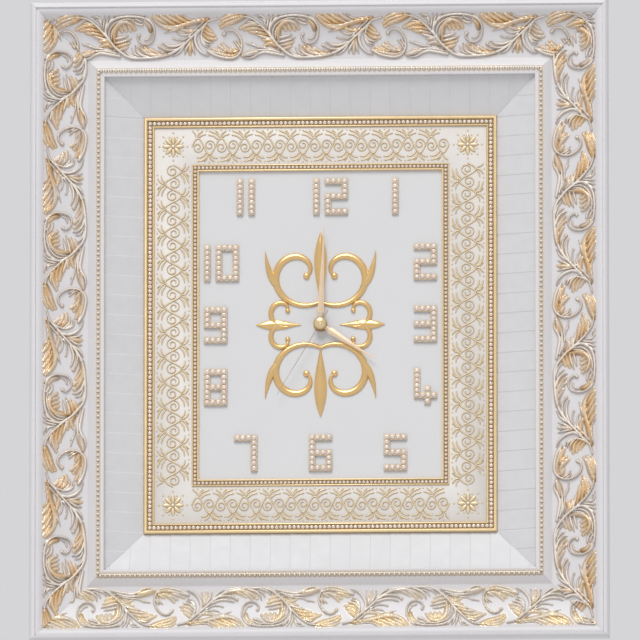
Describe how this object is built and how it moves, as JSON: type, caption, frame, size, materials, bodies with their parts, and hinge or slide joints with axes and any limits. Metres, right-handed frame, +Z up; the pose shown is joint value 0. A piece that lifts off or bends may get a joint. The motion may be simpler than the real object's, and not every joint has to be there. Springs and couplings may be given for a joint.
{
  "type": "wall clock",
  "caption": "Large rectangular wall clock: carved white and gold moulded frame, sloped liner, jewelled trims and block numerals, foliate centre, three hands.",
  "frame": {"origin": "the nail point: the top of the hanger plate's slot, on the plane of the wall", "axes": "+Z up, the clock faces -Y and its back lies on the wall at y = 0, +X to the right as seen from the front"},
  "size_m": [0.577, 0.061, 0.646],
  "materials": {
    "frame_lacquer": "white lacquered polystyrene moulding with gold rubbed on the raised carving",
    "liner": "white faced board with fine cross grooves",
    "dial": "smooth pale board",
    "backboard": "bare fibreboard",
    "polished_gold": "polished gold plating",
    "satin_gold": "satin champagne gold",
    "rhinestone": "rows of faceted champagne stones in gold cups",
    "relief_band": "white moulded relief with gold lines",
    "fastener_brass": "plain brass",
    "gasket": "black rubber",
    "case_plastic": "black moulded plastic with a fine grain",
    "gear_plastic": "natural white acetal",
    "magnet_steel": "bright steel",
    "coil_wire": "enamelled copper wire",
    "circuit_board": "green solder mask",
    "battery_sleeve": "plain blue sleeve with a bare steel positive end",
    "hanger_steel": "zinc plated steel"
  },
  "bodies": {
    "clock_body": {"frame_rail_bottom": "frame_lacquer", "frame_rail_right": "frame_lacquer", "frame_rail_top": "frame_lacquer", "frame_rail_left": "frame_lacquer", "liner_bottom": "liner", "liner_right": "liner", "liner_top": "liner", "liner_left": "liner", "dial_board": "dial", "backboard": "backboard", "outer_gold_trim": "polished_gold", "inner_gold_trim": "polished_gold", "outer_rhinestone_chain": "rhinestone", "inner_rhinestone_chain": "rhinestone", "relief_band": "relief_band", "numeral_1": "rhinestone", "numeral_2": "rhinestone", "numeral_3": "rhinestone", "numeral_4": "rhinestone", "numeral_5": "rhinestone", "numeral_6": "rhinestone", "numeral_7": "rhinestone", "numeral_8": "rhinestone", "numeral_9": "rhinestone", "numeral_10_tens": "rhinestone", "numeral_10_ones": "rhinestone", "numeral_11_tens": "rhinestone", "numeral_11_ones": "rhinestone", "numeral_12_tens": "rhinestone", "numeral_12_ones": "rhinestone", "ornament_top_spray": "polished_gold", "ornament_bottom_spray": "polished_gold", "ornament_left_spray": "polished_gold", "ornament_right_spray": "polished_gold", "washer": "fastener_brass", "hex_nut": "fastener_brass", "rubber_gasket": "gasket", "case_front": "case_plastic", "case_back": "case_plastic", "motor_stator": "magnet_steel", "motor_coil": "coil_wire", "circuit_board": "circuit_board", "battery": "battery_sleeve", "battery_contact_positive": "magnet_steel", "battery_contact_negative": "magnet_steel", "hanger_plate": "hanger_steel", "hanger_screw_left": "hanger_steel", "hanger_screw_right": "hanger_steel"},
    "seconds_body": {"seconds_wheel": "gear_plastic", "second_hand": "satin_gold", "hub_cap": "polished_gold"},
    "minutes_body": {"centre_wheel": "gear_plastic", "minute_hand": "satin_gold"},
    "hours_body": {"hour_wheel": "gear_plastic", "hour_hand": "satin_gold"},
    "rotor_body": {"stepping_rotor": "magnet_steel"},
    "intermediate_body": {"intermediate_wheel": "gear_plastic"},
    "third_body": {"third_wheel": "gear_plastic"},
    "motion_body": {"motion_wheel": "gear_plastic", "setting_knob": "gear_plastic"}
  },
  "joints": [
    {"name": "second_hand_turn", "type": "hinge", "parent": "clock_body", "child": "seconds_body", "pos_m": [0, -0.012, -0.29], "axis": [0, 1, 0], "continuous": true},
    {"name": "minute_hand_turn", "type": "hinge", "parent": "clock_body", "child": "minutes_body", "pos_m": [0, -0.012, -0.29], "axis": [0, 1, 0], "continuous": true},
    {"name": "hour_hand_turn", "type": "hinge", "parent": "clock_body", "child": "hours_body", "pos_m": [0, -0.012, -0.29], "axis": [0, 1, 0], "continuous": true},
    {"name": "rotor_turn", "type": "hinge", "parent": "clock_body", "child": "rotor_body", "pos_m": [-0.01303, -0.012, -0.27637], "axis": [0, 1, 0], "continuous": true},
    {"name": "intermediate_wheel_turn", "type": "hinge", "parent": "clock_body", "child": "intermediate_body", "pos_m": [-0.01116, -0.012, -0.28701], "axis": [0, 1, 0], "continuous": true},
    {"name": "third_wheel_turn", "type": "hinge", "parent": "clock_body", "child": "third_body", "pos_m": [0.01051, -0.012, -0.28718], "axis": [0, 1, 0], "continuous": true},
    {"name": "setting_knob_turn", "type": "hinge", "parent": "clock_body", "child": "motion_body", "pos_m": [0, -0.012, -0.278], "axis": [0, 1, 0], "continuous": true}
  ],
  "couplings": [
    {"joint": "minute_hand_turn", "follows": "second_hand_turn", "ratio": 0.016667},
    {"joint": "hour_hand_turn", "follows": "second_hand_turn", "ratio": 0.0013889},
    {"joint": "rotor_turn", "follows": "second_hand_turn", "ratio": 30},
    {"joint": "intermediate_wheel_turn", "follows": "second_hand_turn", "ratio": -6},
    {"joint": "third_wheel_turn", "follows": "second_hand_turn", "ratio": -0.13333},
    {"joint": "setting_knob_turn", "follows": "second_hand_turn", "ratio": -0.0055556}
  ]
}
